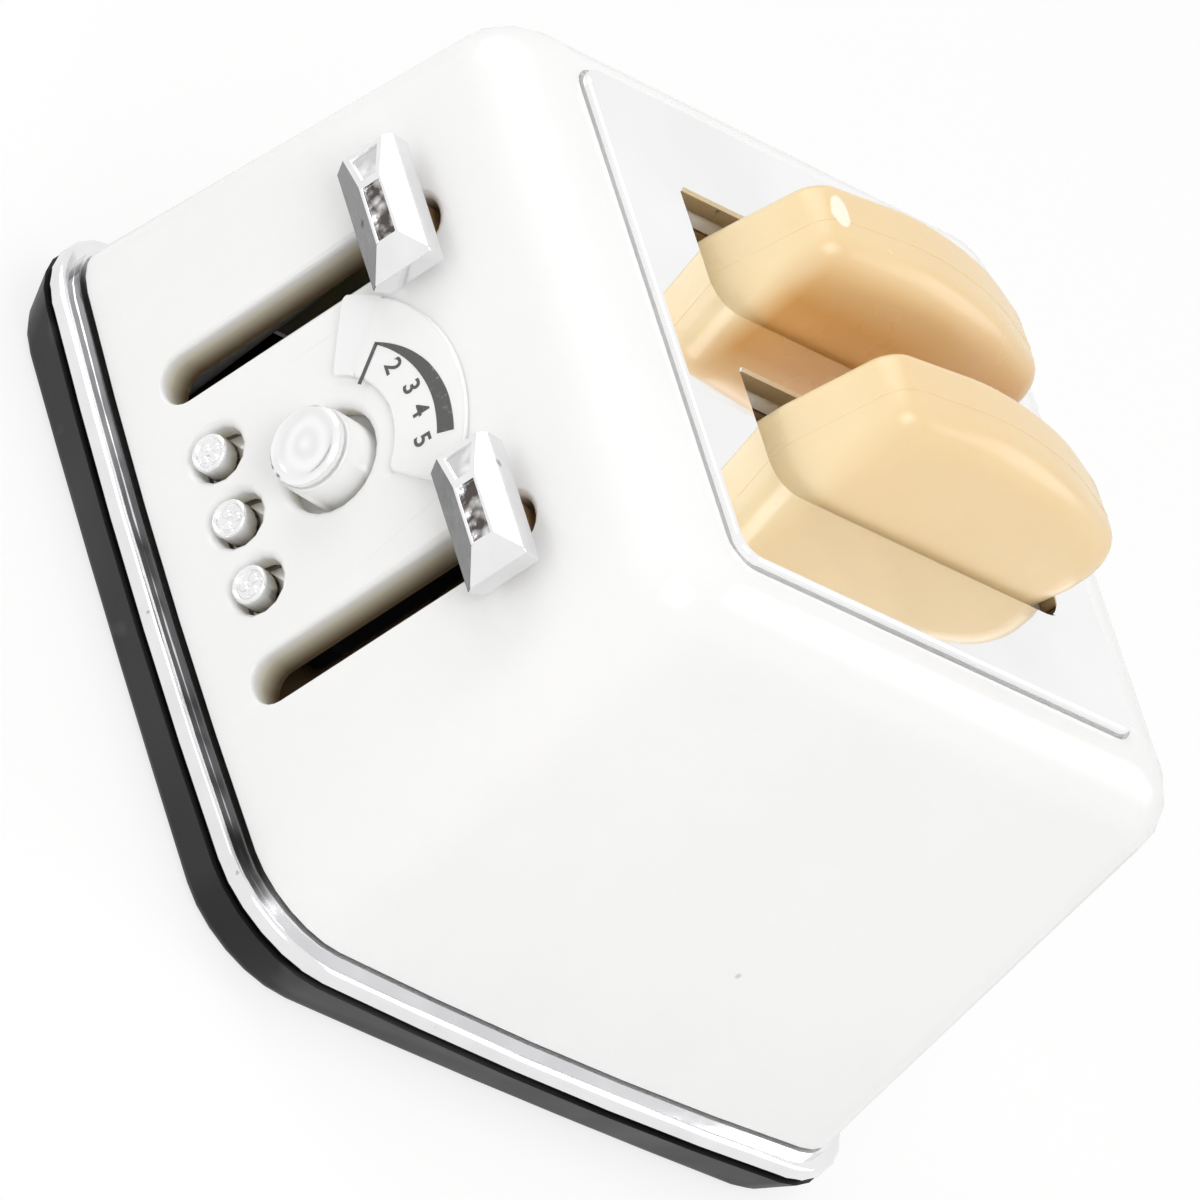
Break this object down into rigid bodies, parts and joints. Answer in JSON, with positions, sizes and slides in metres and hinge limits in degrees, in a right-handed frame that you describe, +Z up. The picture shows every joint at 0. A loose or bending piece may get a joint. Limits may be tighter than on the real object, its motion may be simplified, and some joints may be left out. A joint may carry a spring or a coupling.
{
  "type": "miniature toaster",
  "caption": "Doll-size pop-up toaster: leaning white housing, chrome slot plate and levers that slide, with bread slices on cradles, a browning dial and sprung buttons.",
  "frame": {"origin": "middle of the base footprint, at the level of the surface it stands on", "axes": "+Z up, -Y towards the front face with the levers and the dial, +X to the right seen from the front"},
  "size_m": [0.0458, 0.0464, 0.0384],
  "materials": {
    "tray_black": "satin black moulding",
    "band_chrome": "bright plated plastic, slightly worn",
    "shell_white": "glossy warm white moulding",
    "plate_chrome": "mirror plated with fine specks and scratches",
    "inner_brown": "dark brown matt moulding",
    "bracket_black": "satin black moulding",
    "screw_steel": "zinc plated",
    "rod_steel": "drawn wire",
    "bread_tan": "glossy bread-coloured moulding",
    "lever_chrome": "bright plated plastic",
    "dial_white": "glossy white moulding",
    "dial_chrome": "bright plated plastic",
    "button_chrome": "bright plated plastic"
  },
  "bodies": {
    "root": {"base_tray": "tray_black", "chrome_band": "band_chrome", "housing": "shell_white", "slot_plate": "plate_chrome", "inner_frame": "inner_brown", "dial_bracket": "bracket_black", "front_left_base_screw": "screw_steel", "front_right_base_screw": "screw_steel", "rear_left_base_screw": "screw_steel", "rear_right_base_screw": "screw_steel", "left_bracket_screw": "screw_steel", "right_bracket_screw": "screw_steel", "left_guide_rod": "rod_steel", "right_guide_rod": "rod_steel", "left_button_spring": "rod_steel", "middle_button_spring": "rod_steel", "right_button_spring": "rod_steel"},
    "left_lever": {"left_carriage": "inner_brown", "left_toast": "bread_tan", "left_lever_knob": "lever_chrome"},
    "right_lever": {"right_carriage": "inner_brown", "right_toast": "bread_tan", "right_lever_knob": "lever_chrome"},
    "timer": {"timer_knob": "dial_white", "timer_knob_cap": "dial_chrome", "knob_clip": "rod_steel"},
    "left_button_pin": {"left_button": "button_chrome"},
    "middle_button_pin": {"middle_button": "button_chrome"},
    "right_button_pin": {"right_button": "button_chrome"}
  },
  "joints": [
    {"name": "left_lever_slide", "type": "slide", "parent": "root", "child": "left_lever", "axis": [0, 0.1056, 0.9944], "range_m": [-0.0134, 0]},
    {"name": "right_lever_slide", "type": "slide", "parent": "root", "child": "right_lever", "axis": [0, 0.1056, 0.9944], "range_m": [-0.0134, 0]},
    {"name": "timer_turn", "type": "hinge", "parent": "root", "child": "timer", "pos_m": [0, -0.02104, 0.01442], "axis": [0, -0.9944, 0.1056], "range_deg": [-67, 0]},
    {"name": "left_button_press", "type": "slide", "parent": "root", "child": "left_button_pin", "axis": [0, -0.9944, 0.1056], "range_m": [-0.0006, 0], "stiffness_N_per_m": 120, "deforming": ["left_button_spring"]},
    {"name": "middle_button_press", "type": "slide", "parent": "root", "child": "middle_button_pin", "axis": [0, -0.9944, 0.1056], "range_m": [-0.0006, 0], "stiffness_N_per_m": 120, "deforming": ["middle_button_spring"]},
    {"name": "right_button_press", "type": "slide", "parent": "root", "child": "right_button_pin", "axis": [0, -0.9944, 0.1056], "range_m": [-0.0006, 0], "stiffness_N_per_m": 120, "deforming": ["right_button_spring"]}
  ]
}
